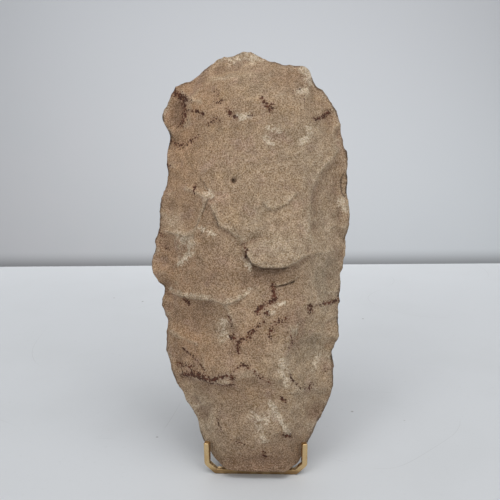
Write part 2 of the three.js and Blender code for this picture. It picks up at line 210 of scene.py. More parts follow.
# Small swellings of the outline: photograph pixels of the middle, reach in pixels, outward in millimetres
RIM_SWELLS = [
    (340, 284, 18, 1.1), (162, 304, 11, 0.9), (155, 274, 9, 0.8), (167, 149, 9, 1.1), (166, 165, 5, 0.8),
    (309, 67, 8, 1.3), (190, 406, 7, 1), (160, 210, 8, 0.6), (176, 78, 7, -0.8), (197, 76, 8, -0.8),
    (315, 85, 6, -1.2), (333, 377, 9, -0.8), (290, 65, 5, -0.6), (166, 338, 7, -0.5), (346, 128, 6, -0.4),
]

# Chips along the edge and unevenness of the faces: lengths of the waves and their heights in millimetres
CHIPS = ((2.1, 0.16), (1.1, 0.1))
CHIP_ZONE = (0.01, 0.05)
ROUGHNESS = ((17, 0.55), (8, 0.3), (3.6, 0.17), (1.7, 0.11))
ROUGH_FADE = 0.012
ROUGH_AT_BUTT = 0.3
FRONT_SHIFT = 0
BACK_SHIFT = 5
NOISE_SHIFT = 31.7

# Marks on the front in photograph pixels: how wide, how strong, and the points along the mark
STAINS = [
    (4, 1, [(174, 92), (180, 95), (187, 99)]),
    (3.5, 0.9, [(183.5, 99), (183, 110), (183, 117), (180, 124)]),
    (1.6, 0.9, [(187, 110), (195, 110.5), (200, 112), (203, 114)]),
    (4, 0.62, [(209, 123), (214, 118), (219, 120)]), (3, 0.6, [(216, 91), (216, 100), (221, 101)]),
    (2.6, 1, [(227, 108.5), (230, 113), (236, 117)]), (2, 0.8, [(248, 117), (251, 115)]),
    (3, 0.95, [(262, 98), (267, 105), (270, 109)]), (2, 0.8, [(268, 105), (273, 103)]),
    (2.4, 0.95, [(315, 118), (323, 115), (330, 110)]), (2, 0.5, [(294, 91), (301, 87), (307, 81)]),
    (2.2, 0.45, [(301, 90), (304, 100)]), (3.6, 0.8, [(169, 140), (174, 144), (182, 145)]),
    (3, 0.66, [(187, 144), (191, 140), (196, 137)]), (2, 0.9, [(166, 164), (169, 167)]),
    (1.4, 1, [(195, 184), (193.5, 193)]), (2.6, 1, [(183.5, 299.5), (188, 303.5)]),
    (1.8, 1, [(243, 243), (246, 250), (245.5, 257)]),
    (3, 1, [(273, 286), (273.5, 293), (275, 299), (269, 303), (262, 307), (257, 312)]),
    (3, 0.9, [(266, 312), (268, 313.5)]), (3, 0.72, [(263.5, 322), (256, 328), (251, 332)]),
    (3.4, 0.92, [(253, 330), (248, 337), (240, 341), (236.5, 346), (238, 351)]),
    (3, 0.66, [(288, 319), (280, 320), (272, 326), (269, 337)]),
    (2, 0.75, [(227, 316), (230, 320), (231.5, 325)]), (2.8, 1, [(231, 336.5), (233, 338.5)]),
    (3, 1, [(310, 306), (311, 311)]), (1.8, 0.72, [(311, 307), (324, 303.5)]),
    (2.4, 1, [(324, 303.5), (331, 302.5), (338, 299)]), (2.4, 0.7, [(289, 332), (292, 341), (290, 349)]),
    (1.4, 0.85, [(181, 348), (190, 355), (198, 362.5), (204.5, 370)]),
    (3.2, 0.75, [(178, 363), (184, 366), (190, 367)]),
    (4.2, 0.95, [(183, 374.5), (196, 374), (204, 378), (211, 380.5)]),
    (3, 1, [(211, 380.5), (220, 376.5), (226, 376), (232, 378.5)]),
    (1.6, 0.8, [(210, 383.5), (222, 385.5), (232, 385)]),
    (2.4, 0.7, [(234, 370), (243, 364.5), (249, 368)]), (2.4, 0.85, [(254, 372), (262, 378), (271, 384)]),
    (1.5, 0.8, [(289, 374), (292.5, 381), (300, 387)]), (2.4, 0.7, [(304, 387), (309, 389), (312, 384)]),
    (2.2, 0.95, [(281, 398.5), (285, 402)]), (3, 1, [(283, 435), (289, 436.5)]),
    (1.2, 0.5, [(217, 419), (219, 427), (223, 433)]), (2, 0.5, [(232, 440), (243, 444.5)]),
    (2.6, 0.75, [(263, 453), (265, 458)]), (2, 0.7, [(325, 366), (327, 371)]),
    (2.2, 0.7, [(157, 231), (163, 236)]), (2, 0.6, [(160, 244), (167, 249)]),
    (2.6, 0.75, [(339, 288), (339, 297)]), (2.2, 0.6, [(165, 290), (170, 293)]),
]
# Dark lines: cracks, and painted shadow lines along the low side of the steps and under the lip
CRACKS_AND_SHADOW_LINES = [
    (1.6, 1, [(232.5, 179), (233.5, 181)]),
    (1.3, 0.75, [(246, 255.5), (253, 266), (262, 269), (282, 269), (288, 267.5)]),
    (3.2, 0.5, [(253, 268), (262, 271.5), (276, 272), (284, 270)]),
    (1.1, 0.85, [(275, 287), (285, 285), (294, 281.5)]), (1, 0.7, [(214, 213), (217, 222), (219, 230)]),
    (1, 0.6, [(208, 198), (202.5, 212), (196, 226)]),
    (1.1, 0.7, [(344, 173), (341.5, 178), (340.5, 185), (342, 192), (345, 196)]),
    (1, 0.45, [(226, 305), (238, 301.5), (249, 294)]), (1, 0.5, [(211, 326), (215, 333), (218, 339)]),
    (0.9, 0.4, [(160, 230), (174, 234), (189, 238)]), (0.9, 0.35, [(262, 204), (273, 211), (288, 205)]),
    (1, 0.5, [(202, 231), (199, 236)]), (0.9, 0.35, [(165, 291.5), (187, 299.5), (212, 302)]),
]
PALE_MARKS = [
    (3, 0.8, [(237, 116), (243, 117), (249, 115.5)]), (3, 0.75, [(269, 127), (279, 129)]),
    (3.5, 0.6, [(266, 138), (272, 142)]), (3, 0.7, [(302, 141), (308, 137)]),
    (3, 0.6, [(308, 128), (311, 133)]), (3, 0.8, [(298, 91), (306, 90)]),
    (5, 0.55, [(232, 61), (244, 56), (258, 58)]), (4.5, 0.9, [(303, 68), (308, 72), (309, 79)]),
    (4, 0.6, [(207, 192), (213, 196)]), (3, 0.45, [(200, 228), (206, 231), (214, 235)]),
    (5, 0.5, [(184, 239), (190, 243), (188, 252), (178, 262)]), (5, 0.4, [(178, 236), (181, 247)]),
    (3, 0.7, [(243, 258), (247, 263), (249, 268)]), (5.5, 0.45, [(222, 324), (224, 337)]),
    (4, 0.7, [(341, 200), (345, 208)]), (2.2, 0.5, [(266, 309), (274, 306), (284, 303)]),
    (2.2, 0.6, [(268, 314), (276, 309)]), (4, 0.6, [(283, 360), (282, 372), (286, 384)]),
    (2.6, 0.85, [(270.5, 404), (276, 413), (281, 421), (288, 433)]),
    (5, 0.5, [(252, 418), (262, 422), (270, 417)]), (4.5, 0.5, [(260, 434), (264, 441)]),
    (4, 0.45, [(259, 425), (262, 436)]), (3, 0.5, [(298, 326), (294, 333)]),
    (3, 0.4, [(225, 303), (238, 298), (249, 290)]), (3, 0.3, [(170, 288), (187, 295), (210, 298)]),
    (4, 0.35, [(318, 356), (312, 372)]),
]
MARK_SPREAD = 1.7

# Pits in the front: photograph pixels of the middle, radius in pixels, depth in millimetres
PITS = [
    (233, 180, 2.6, 2.2), (194, 188, 1.6, 0.5), (283, 400, 1.6, 0.4), (287, 435.5, 2.2, 0.5),
    (310, 308, 2, 0.3),
]

# Tints of the front: photograph pixels of the middle, half width, half height, and how strong
WARM = [
    (178, 175, 28, 75, 0.9), (176, 110, 24, 28, 0.8), (165, 265, 22, 40, 0.8), (200, 90, 40, 24, 0.5),
    (250, 70, 60, 20, 0.1), (185, 330, 26, 40, 0.7), (200, 350, 30, 26, 0.5), (312, 420, 12, 22, 0.7),
    (262, 330, 40, 22, 0.2), (250, 395, 30, 10, 0.3),
]
GREY = [
    (328, 285, 22, 36, 0.8), (326, 205, 22, 50, 0.35), (312, 355, 28, 40, 0.75), (298, 410, 22, 28, 0.5),
    (300, 130, 26, 40, 0.35), (265, 150, 30, 40, 0.25), (268, 206, 20, 12, 0.5), (252, 222, 16, 12, 0.4),
    (272, 246, 26, 14, 0.55), (240, 440, 40, 24, 0.2), (205, 420, 18, 30, 0.2), (262, 84, 36, 18, 0.7),
]
# Darker patches: partly the stone's own colour, partly painted shade under the lip and low on the butt above
# the stand
DARK = [
    (225, 432, 40, 40, 0.3), (280, 452, 40, 24, 0.5), (190, 400, 18, 18, 0.15), (173, 108, 14, 22, 0.4),
    (195, 312, 34, 12, 0.35), (264, 275, 26, 9, 0.8), (172, 248, 18, 16, 0.4), (332, 178, 14, 24, 0.4),
    (215, 275, 24, 18, 0.55), (180, 272, 14, 20, 0.3), (315, 420, 16, 26, 0.4), (250, 110, 60, 14, 0.15),
    (338, 268, 10, 40, 0.3), (170, 330, 10, 30, 0.25), (212, 244, 24, 14, 0.4), (285, 290, 22, 14, 0.45),
    (290, 328, 14, 12, 0.3), (250, 461, 40, 8, 0.7), (250, 469, 44, 6, 0.8), (205, 205, 20, 12, 0.3),
    (240, 262, 14, 10, 0.25), (282, 312, 20, 18, 0.4), (250, 345, 24, 14, 0.35), (225, 340, 14, 14, 0.3),
    (285, 76, 40, 16, 0.65), (190, 82, 20, 12, 0.35), (175, 142, 10, 14, 0.35),
]
PALE = [
    (282, 248, 34, 16, 0.55), (290, 225, 60, 26, 0.25), (312, 150, 26, 34, 0.3), (325, 285, 18, 30, 0.55),
    (305, 412, 16, 20, 0.4), (240, 60, 40, 12, 0.35), (235, 250, 30, 14, 0.12), (222, 331, 10, 12, 0.6),
    (262, 425, 24, 18, 0.45), (280, 365, 14, 22, 0.5), (335, 235, 16, 20, 0.2), (270, 300, 26, 16, 0.25),
    (250, 180, 60, 30, 0.15), (172, 222, 10, 12, 0.8), (184, 240, 10, 12, 0.3), (320, 340, 12, 14, 0.25),
    (188, 418, 14, 26, 1), (205, 440, 20, 20, 0.5), (320, 438, 10, 18, 0.7), (205, 408, 14, 14, 0.5),
    (318, 165, 14, 20, 0.3), (322, 222, 12, 12, 0.3),
]

# Painted shade along the edge as a dark line, and where it fades in millimetres
RIM_SHADE = 0.7
RIM_SHADE_REACH = (0.3, 2.2)

# Patches: length in millimetres, shift of the noise, even part, uneven part. The back has one for each tint
RIM_SHADE_PATCH = (5, 3, 0.7, 0.6)
PALE_PATCH = (11, 80, -0.3, 1)
BACK_PATCHES = [(34, shift, 0.35, 0.6) for shift in (0, 9, 18, 27)]
BACK_TINTS = (0.9, 0.6, 0.6, 0.4)

# Veins of the back: length in millimetres, shift and height of their waves, and the noise that breaks them up
VEIN_WAVES = ((15, 50, 1), (5, 20, 0.35))
VEIN_WIDTH = 0.09
VEIN_STRENGTH = 0.8
VEIN_BREAK = 22
VEIN_BREAK_SHIFT = 60
VEIN_BREAK_ZONE = (0.15, 0.5)

# Stand: driving dimensions
WIRE = 2.4
WIRE_ROUNDING = 0.42
BEND_RADIUS = 1.5
PRONG_SPAN = 45
PRONG_HEIGHT = 15
PRONG_TWIST = math.radians(17)
PRONG_TWIST_ZONE = (0.6, 1.6)
CORNER_RISE = 3.8
BASE_DEPTH = 64
REAR_OVERHANG = 0.495
RUNNER_FRONT_SPACING = 24
RUNNER_REAR_SPACING = 50
REST_SPACING = 30
REST_HEIGHT = 74.33
REST_FEET = (28.2, 17.9)
REST_TOP_BACK = 43.2
END_BEVEL = 0.3
ROUNDING_STEPS = 3
BEND_STEPS = 6
BRAZE_FRONT = (1.7, 0.9, 1.0)
BRAZE_FRONT_BACK = 1.3
BRAZE_REST = (1.5, 1.9, 0.8)
BRAZE_REST_RISE = 1.2
SHARP_ANGLE = math.radians(50)

# Stage: the table, and the wall behind it with the height of the painted shadow at its foot, in millimetres
TABLE_BACK = 287
TABLE_SKEW = 0.0275
TABLE_HALF = 1200
TABLE_THICK = 20
WALL_AT = 1300
WALL_LOW = -700
WALL_HIGH = 1600
WALL_SHADE = (-318, -272)
WALL_TOP_SHADE_ZONE = (-300, 300)
WALL_TILT = 0.009

# Studio sky: dim near the horizon and below, bright overhead
SKY_RISE = (-0.1, 0.9)
SKY_GLOW = (0.31, 0.35)
SKY_BLUE = (0.93, 0.965, 1.0, 1)

# Lamps: name, where it hangs, what it faces, width and height, power, colour
WARM_WHITE = (1.0, 0.985, 0.96)
LAMPS = [
    ("overhead", (60, -200, 760), (0, 20, 60), (900, 400), 3.1, WARM_WHITE),
    ("front_right", (520, -760, 480), (0, 0, 80), (300, 300), 1.35, WARM_WHITE),
    ("front_left", (-500, -760, 480), (0, 0, 80), (300, 300), 1.1, WARM_WHITE),
    ("rear_fill", (-420, 760, 700), (0, 0, 80), (700, 500), 0.5, (1.0, 0.99, 0.98)),
    ("wall_wash", (-60, 700, 440), (-60, WALL_AT, -900), (1200, 300), 6.2, (1.0, 1.0, 1.0)),
]


def smooth(value, low, high):
    t = np.clip((value - low) / (high - low), 0, 1)
    return t * t * (3 - 2 * t)


def project(points):
    """Photograph pixels of points in the row frame, in millimetres."""
    right, up, back = ((points - CAMERA_AT) @ np.array(CAMERA_TURN)).T
    scale = -LENS / SENSOR * PHOTO_SIDE / back
    return np.stack([PHOTO_SIDE / 2 + right * scale, PHOTO_SIDE / 2 - up * scale], 1)


def scatter(index):
    wave = math.sin(index * 12.9898) * HASH_SCALE
    return wave - math.floor(wave)


def outline_points():
    """The closed centripetal Catmull-Rom curve through the outline's points, scaled to a rounder shape."""
    p1 = np.array([(x / HALF_WIDTH, (y - CENTRE_UP) / CENTRE_UP) for x, y in OUTLINE])
    p0 = np.roll(p1, 1, 0)
    p2 = np.roll(p1, -1, 0)
    p3 = np.roll(p1, -2, 0)
    d0 = np.sqrt(np.linalg.norm(p1 - p0, axis=1))[:, None]
    d1 = np.sqrt(np.linalg.norm(p2 - p1, axis=1))[:, None]
    d2 = np.sqrt(np.linalg.norm(p3 - p2, axis=1))[:, None]
    m1 = ((p1 - p0) / d0 - (p2 - p0) / (d0 + d1) + (p2 - p1) / d1) * d1
    m2 = ((p2 - p1) / d1 - (p3 - p1) / (d1 + d2) + (p3 - p2) / d2) * d1
    squares = 3 * p2 - 3 * p1 - 2 * m1 - m2
    cubes = 2 * p1 - 2 * p2 + m1 + m2
    shares = np.arange(SPAN_SAMPLES) / SPAN_SAMPLES
    spans = [p1 + m1 * t + squares * t**2 + cubes * t**3 for t in shares]
    return np.stack(spans, 1).reshape(-1, 2)


curve = outline_points()
curve_angle = np.arctan2(curve[:, 1], curve[:, 0])
order = np.argsort(curve_angle)
curve_angle = curve_angle[order]
curve_radius = np.hypot(curve[:, 0], curve[:, 1])[order]


def outline_radius(angle):
    return np.interp(angle, curve_angle, curve_radius, period=2 * math.pi)


def place_inside(share, angle):
    radius = share * outline_radius(angle)
    return radius * HALF_WIDTH * np.cos(angle), CENTRE_UP + radius * CENTRE_UP * np.sin(angle)


def bite_table():
    """How far each sample of the outline is bitten in, in millimetres."""
    rng = np.random.default_rng(SEED + 1)
    x, y = place_inside(1, curve_angle)
    step = AXE_LENGTH * np.hypot(np.diff(x, append=x[:1]), np.diff(y, append=y[:1]))
    along = np.cumsum(step) - step
    whole = step.sum()
    depth = np.zeros(len(x))
    for _ in range(BITES):
        middle = rng.uniform(0, whole)
        width = rng.uniform(*BITE_WIDTH)
        deep = rng.uniform(*BITE_DEPTH) * width / BITE_WIDTH[1]
        away = np.abs((along - middle + whole / 2) % whole - whole / 2) / width
        depth = np.maximum(depth, deep * (1 - away**2))
    return depth


bitten = bite_table()


def rim_swell(across, up):
    """How far the outline swells out at each place of it, in millimetres."""
    level = np.zeros(len(up))
    seen = project(leant(across, level, levelled(up, level)) + place)
    swell = np.zeros(len(up))
    for x, y, reach, outward in RIM_SWELLS:
        away = np.hypot(seen[:, 0] - x, seen[:, 1] - y) / reach
        swell += outward * np.exp(-(away**2))
    return swell


def bitten_place(share, angle, across, up):
    """The place across and up after the bites and swellings of the outline have moved it in or out."""
    depth = np.interp(angle, curve_angle, bitten, period=2 * math.pi)
    rim_across, rim_up = place_inside(1, angle)
    radius = AXE_LENGTH * np.hypot(rim_across, rim_up - CENTRE_UP)
    swell = rim_swell(rim_across, rim_up) + BITE_BALANCE * smooth(rim_up, *BALANCE_ZONE)
    left = 1 + smooth(share, BITE_REACH, 1) / radius * (swell - depth * smooth(rim_up, *BITE_ZONE))
    return across * left, CENTRE_UP + (up - CENTRE_UP) * left


edge_tree = KDTree(len(curve))
for index, (x, y) in enumerate(curve):
    edge_tree.insert((x * HALF_WIDTH, CENTRE_UP + y * CENTRE_UP, 0), index)
edge_tree.balance()


def edge_distance(across, up):
    return np.array([edge_tree.find((x, y, 0))[2] for x, y in zip(across, up)])


def hashed(cells):
    """A fixed random value from 0 to 1 for each whole-number cell."""
    value = np.sin(cells @ np.array([127.1, 311.7, 74.7])) * HASH_SCALE
    return value - np.floor(value)


def noise(points):
    """Smooth noise from -1 to 1, one wave per unit."""
    cell = np.floor(points)
    t = points - cell
    t = t * t * (3 - 2 * t)
    total = np.zeros(len(points))
    for corner in np.ndindex(2, 2, 2):
        weight = np.prod(np.where(corner, t, 1 - t), axis=1)
        total += weight * hashed(cell + corner)
    return 2 * total - 1


def scar_depth(scars, across, up):
    depth = np.zeros(len(across))
    for x, y, wide, high, deep, turn in scars:
        t = math.radians(turn)
        dx = (across - x) * math.cos(t) + (up - y) * math.sin(t)
        dy = (up - y) * math.cos(t) - (across - x) * math.sin(t)
        depth = np.maximum(depth, deep * (1 - (dx / wide) ** 2 - (dy / high) ** 2))
    return depth


def back_scars():
    scars = []
    for i in range(BACK_SCARS):
        angle = 2 * math.pi * (i + BACK_SCAR_SPREAD * scatter(i + 1)) / BACK_SCARS - math.pi
        size = 1 + BACK_SCAR_SPREAD * (scatter(i + 20) - 0.5)
        turn = BACK_SCAR_TURN * (scatter(i + 40) - 0.5)
        wide, high = BACK_SCAR_SIZE
        x, y = place_inside(BACK_SCAR_REACH, angle)
        scars.append((x, y, wide * size, high * size, BACK_SCAR_DEPTH * size, turn))
    return scars


def edge_nips(rng):
    """Small bowls along the edge, as shares of the length."""
    nips = []
    for i in range(NIPS):
        angle = 2 * math.pi * (i + NIP_SPACING * rng.random()) / NIPS
        size = rng.uniform(*NIP_SIZE) / AXE_LENGTH
        deep = rng.uniform(*NIP_DEPTH) / AXE_LENGTH
        x, y = place_inside(NIP_OUT - NIP_OUT_SPREAD * rng.random(), angle)
        nips.append((x, y, size, size * rng.uniform(*NIP_TALL), deep, rng.uniform(-NIP_TURN, NIP_TURN)))
    return nips


def along_line(seen, points):
    """For each seen point: distance to the line in pixels, its side, and how far along it lies as a share."""
    line = np.array(points, float) * (1, -1)
    spot = seen * (1, -1)
    lengths = np.linalg.norm(np.diff(line, axis=0), axis=1)
    whole = lengths.sum()
    best = np.full(len(seen), 1e9)
    side = np.ones(len(seen))
    share = np.zeros(len(seen))
    done = 0
    for a, b, length in zip(line[:-1], line[1:], lengths):
        along = (b - a) / length
        offset = spot - a
        run = np.clip(offset @ along, 0, length)
        away = offset - run[:, None] * along
        distance = np.hypot(away[:, 0], away[:, 1])
        turn = along[0] * offset[:, 1] - along[1] * offset[:, 0]
        nearer = distance < best
        best = np.where(nearer, distance, best)
        side = np.where(nearer, np.sign(turn), side)
        share = np.where(nearer, (done + run) / whole, share)
        done += length
    return best, side, share


def step_height(seen, steps):
    total = np.zeros(len(seen))
    for points, height, rise, drop in steps:
        line = np.array(points)
        reach = 3 * rise / PIXEL
        near = np.all((seen > line.min(0) - reach) & (seen < line.max(0) + reach), axis=1)
        distance, side, share = along_line(seen[near], points)
        fade = np.exp(-distance * PIXEL / np.where(side > 0, rise, drop))
        taper = smooth(share, 0, STEP_TAPER) * smooth(1 - share, 0, STEP_TAPER)
        total[near] += height * fade * taper
    return total


def back_steps():
    return [([(x / PIXEL, -up / PIXEL) for x, up in line], *rest) for line, *rest in BACK_STEPS]


def mark_strength(seen, marks):
    total = np.zeros(len(seen))
    for width, strength, points in marks:
        width = width * MARK_SPREAD
        line = np.array(points)
        near = np.all((seen > line.min(0) - width) & (seen < line.max(0) + width), axis=1)
        distance, _, _ = along_line(seen[near], points)
        total[near] = np.maximum(total[near], strength * np.clip(1 - distance / width, 0, 1))
    return total


def tint_strength(seen, tints):
    total = np.zeros(len(seen))
    for x, y, wide, high, strength in tints:
        away = ((seen[:, 0] - x) / wide) ** 2 + ((seen[:, 1] - y) / high) ** 2
        total += strength * np.exp(-away)
    return np.clip(total, 0, 1)


def pit_depth(seen):
    total = np.zeros(len(seen))
    for x, y, radius, depth in PITS:
        away = np.hypot(seen[:, 0] - x, seen[:, 1] - y) / radius
        total += depth * np.exp(-(away**2))
    return total


def disc_points(cells_long, cells_wide):
    """Reach and angle of each grid point, mapped from a square to a disc with even cells."""
    b, a = np.meshgrid(np.linspace(-1, 1, cells_long + 1), np.linspace(-1, 1, cells_wide + 1), indexing="ij")
    a = a.ravel()
    b = b.ravel()
    wide = np.abs(a) > np.abs(b)
    reach = np.where(wide, a, b)
    safe_a = np.where(a == 0, 1, a)
    safe_b = np.where(b == 0, 1, b)
    angle = np.where(wide, math.pi / 4 * b / safe_a, math.pi / 2 - math.pi / 4 * a / safe_b)
    turned = np.arctan2(reach * np.sin(angle), reach * np.cos(angle))
    return np.abs(reach), turned


def edge_height(side, across, up):
    blunt = (1 - smooth(np.abs(across), *BUTT_ACROSS)) * (1 - smooth(up, 0, BUTT_UP))
    butt = BUTT_FRONT if side < 0 else BUTT_BACK
    return EDGE_THICKNESS / 2 + (butt - EDGE_THICKNESS / 2) * blunt


def edge_waves(angle, up, waves):
    """How far the edge waves to and fro above the prongs, in millimetres."""
    wave = sum(height * np.sin(count * angle + phase) for count, height, phase in waves)
    return AXE_LENGTH * wave * smooth(up, *PRONG_ZONE)


def edge_shift(angle, up):
    """How far back the plane of the edge lies, in millimetres."""
    backset = PRONG_BACKSET * (1 - smooth(up, *PRONG_ZONE)) * smooth(up, 0, PRONG_ZONE[0])
    return edge_waves(angle, up, EDGE_WAVES) + AXE_LENGTH * backset


def lens_height(side, across, up, inside):
    rim = edge_height(side, across, up)
    cross_fall = CROSS_DOME * (across / HALF_WIDTH) ** 2
    long_fall = LONG_DOME * ((up - THICKEST_UP) / CENTRE_UP) ** 2
    bevel = 1 - (1 - np.minimum(1, inside / BEVEL_REACH)) ** 2
    return rim + (AXE_THICKNESS / 2 - rim) * (1 - cross_fall - long_fall) * bevel


def levelled(up, depth):
    return AXE_LENGTH * up + depth * math.tan(LEAN) * (1 - smooth(up, 0, BUTT_UP))


def leant(across, depth, rise):
    """The stone's own across, depth and rise in millimetres, leant back, before it is moved to its place."""
    x = across * AXE_LENGTH
    y = depth * math.cos(LEAN) + rise * math.sin(LEAN)
    z = rise * math.cos(LEAN) - depth * math.sin(LEAN)
    return np.stack([x, y, z], 1)


def roughness(points, seed):
    total = np.zeros(len(points))
    for index, (wave, height) in enumerate(ROUGHNESS):
        total += height * noise(points / wave + NOISE_SHIFT * (index + seed))
    return total


def front_relief(across, up, lens, seen):
    """Scars, steps and pits of the front. The scars are placed as they are seen, in front of the middle."""
    eye_across, eye_up, eye_away = SEEN_FROM
    nearer = eye_away / (eye_away - lens / AXE_LENGTH)
    seen_across = eye_across + (across - eye_across) * nearer
    seen_up = eye_up + (up - eye_up) * nearer
    scars = AXE_LENGTH * scar_depth(FRONT_SCARS, seen_across, seen_up)
    return step_height(seen, STEPS) - pit_depth(seen) - scars


def back_relief(across, up):
    flat = np.stack([across, -up], 1) * AXE_LENGTH / PIXEL
    return step_height(flat, back_steps()) - AXE_LENGTH * scar_depth(back_scars(), across, up)


def patchy(points, wave, shift, even, uneven):
    return np.clip(even + uneven * noise(points / wave + shift), 0, 1)


# A dark line along the edge: painted shade
def rim_shade_line(inside, bare):
    return RIM_SHADE * (1 - smooth(inside * AXE_LENGTH, *RIM_SHADE_REACH)) * patchy(bare, *RIM_SHADE_PATCH)


def front_looks(seen, rim_shade):
    """Tints and marks of the front, by the photograph pixels of its points."""
    tints = np.stack([tint_strength(seen, t) for t in (WARM, GREY, DARK, PALE)], 1)
    marks = np.stack([mark_strength(seen, m) for m in (STAINS, CRACKS_AND_SHADOW_LINES, PALE_MARKS)], 1)
    # The painted shade along the edge joins the dark lines
    marks[:, 1] = np.maximum(marks[:, 1], rim_shade)
    return tints, marks


def back_looks(bare, rim_shade):
    """Tints and marks of the hidden back, scattered in keeping with the front."""
    tints = np.stack([patchy(bare, *patch) for patch in BACK_PATCHES], 1) * BACK_TINTS
    waves = sum(height * noise(bare / wave + shift) for wave, shift, height in VEIN_WAVES)
    broken = smooth(noise(bare / VEIN_BREAK + VEIN_BREAK_SHIFT), *VEIN_BREAK_ZONE)
    veins = VEIN_STRENGTH * np.clip(1 - np.abs(waves) / VEIN_WIDTH, 0, 1) * broken
    return tints, np.stack([veins, rim_shade, patchy(bare, *PALE_PATCH)], 1)


def bare_face(side, cells):
    """The points of a face before it is flaked: their places, heights, and how far back the edge lies."""
    reach, angle = disc_points(*cells)
    across, up = place_inside(reach * FACE_INSET, angle)
    inside = edge_distance(across, up)
    lens = lens_height(side, across, up, inside)
    return reach, angle, across, up, inside, lens, edge_shift(angle, up) * reach**2


def stone_face(side, cells, rng):
    """The front for side -1 or the back for 1: its points in the row frame, and its tints and marks."""
    reach, angle, across, up, inside, lens, shift = bare_face(side, cells)
    bare = leant(across, shift + side * lens, levelled(up, shift + side * lens)) + place
    rim_shade = rim_shade_line(inside, bare)
    if side < 0:
        seen = project(bare)
        relief = front_relief(across, up, lens, seen)
        tints, marks = front_looks(seen, rim_shade)
    else:
        relief = back_relief(across, up)
        tints, marks = back_looks(bare, rim_shade)
    above = smooth(up, *NIP_ZONE)
    nips = AXE_LENGTH * scar_depth(edge_nips(rng), across, up)
    rim_room = lens - RIM_LEAST * EDGE_THICKNESS / 2
    relief = relief * smooth(inside, 0, RIM_FADE) - np.minimum(nips * above, rim_room)
    uneven = smooth(inside, 0, ROUGH_FADE) * (ROUGH_AT_BUTT + (1 - ROUGH_AT_BUTT) * above)
    relief += roughness(bare, FRONT_SHIFT if side < 0 else BACK_SHIFT) * uneven
    fine = edge_waves(angle, up, FINE_EDGE_WAVES) * reach**6
    depth = shift + fine + side * (lens + relief)
    bitten_across, bitten_up = bitten_place(reach, angle, across, up)
    points = leant(bitten_across, depth, levelled(bitten_up, depth)) + place
    return points, tints, np.column_stack([marks, relief_light_and_shade(relief, cells)])


def relief_light_and_shade(relief, cells):
    """Ridges above 0.5 and hollows below it: how far the relief stands off its own blurred shape."""
    grid = relief.reshape(cells[0] + 1, cells[1] + 1)
    blurred = grid
    for _ in range(RELIEF_SHADE_BLURS):
        blurred = box_blur(box_blur(blurred, RELIEF_SHADE_BLUR).T, RELIEF_SHADE_BLUR).T
    return np.clip(0.5 + (grid - blurred).ravel() / RELIEF_SHADE_RANGE, 0, 1)


def box_blur(grid, reach):
    padded = np.pad(grid, ((reach + 1, reach), (0, 0)), mode="edge")
    total = np.cumsum(padded, axis=0)
    return (total[2 * reach + 1:] - total[:-2 * reach - 1]) / (2 * reach + 1)


def ridge_points(angle):
    """The edge itself, between the two faces, with its small chips."""
    across, up = place_inside(1, angle)
    shift = edge_shift(angle, up) + edge_waves(angle, up, FINE_EDGE_WAVES)
    across, up = bitten_place(np.ones(len(angle)), angle, across, up)
    ridge = leant(across, shift, levelled(up, shift)) + place
    chips = sum(height * (1 + noise(ridge / wave)) for wave, height in CHIPS)
    inward = ridge.mean(0) - ridge
    inward /= np.linalg.norm(inward, axis=1)[:, None]
    return ridge + inward * (chips * smooth(up, *CHIP_ZONE))[:, None]


def face_grid(cells):
    long, wide = cells
    return np.arange((long + 1) * (wide + 1)).reshape(long + 1, wide + 1)


def rim_order(grid):
    """Grid points of the rim in order round the stone."""
    return np.concatenate([grid[0, :-1], grid[:-1, -1], grid[-1, :0:-1], grid[:0:-1, 0]])


def quads_of(grid, flipped):
    a = grid[:-1, :-1].ravel()
    b = grid[:-1, 1:].ravel()
    c = grid[1:, 1:].ravel()
    d = grid[1:, :-1].ravel()
    return np.stack([a, d, c, b] if flipped else [a, b, c, d], 1)


def rim_faces(rim, back_rim, first_ridge):
    """Faces from the front's rim over the edge to the back's rim, which has half as many points."""
    total = len(rim)
    ridge = np.arange(total) + first_ridge
    faces = [(rim[i], ridge[i], ridge[(i + 1) % total], rim[(i + 1) % total]) for i in range(total)]
    for i, start in enumerate(back_rim):
        end = back_rim[(i + 1) % len(back_rim)]
        first = ridge[2 * i]
        second = ridge[2 * i + 1]
        third = ridge[(2 * i + 2) % total]
        faces += [(first, start, second), (start, end, second), (end, third, second)]
    return faces


def linked(name, data):
    made = bpy.data.objects.new(name, data)
    bpy.context.scene.collection.objects.link(made)
    return made


def object_of(name, bm):
    """The finished mesh as an object of the scene."""
    mesh = bpy.data.meshes.new(name)
    bm.to_mesh(mesh)
    bm.free()
    return linked(name, mesh)


def stone_object():
    rng = np.random.default_rng(SEED)
    front, front_tints, front_marks = stone_face(-1, FRONT_CELLS, rng)
    back, back_tints, back_marks = stone_face(1, BACK_CELLS, rng)
    front_grid = face_grid(FRONT_CELLS)
    back_grid = face_grid(BACK_CELLS) + len(front)
    rim = rim_order(front_grid)
    ridge = ridge_points(disc_points(*FRONT_CELLS)[1][rim])
    points = inside_box(np.concatenate([front, back, ridge]), stone_low, stone_high)
    tints = np.concatenate([front_tints, back_tints, front_tints[rim]])
    marks = np.concatenate([front_marks, back_marks, front_marks[rim]])
    faces = [*quads_of(front_grid, False), *quads_of(back_grid, True)]
    faces += rim_faces(rim, rim_order(back_grid), len(front) + len(back))
    mesh = bpy.data.meshes.new("hand_axe_stone")
    mesh.from_pydata((points * MM).tolist(), [], [tuple(int(v) for v in face) for face in faces])
    mesh.update()
    for name, layer_values in (("tint", tints), ("marks", marks)):
        layer = mesh.attributes.new(name, "FLOAT_COLOR", "POINT")
        layer.data.foreach_set("color", layer_values.astype(np.float32).ravel())
    mesh.shade_smooth()
    return linked("hand_axe_stone", mesh)


def inside_box(points, low, high):
    """Squeezes the points by a hair where they would leave the CAD node's box."""
    low = np.array(low) / MM
    high = np.array(high) / MM
    least = points.min(0)
    most = points.max(0)
    target_low = np.maximum(least, low)
    target_high = np.minimum(most, high)
    return target_low + (points - least) * (target_high - target_low) / (most - least)


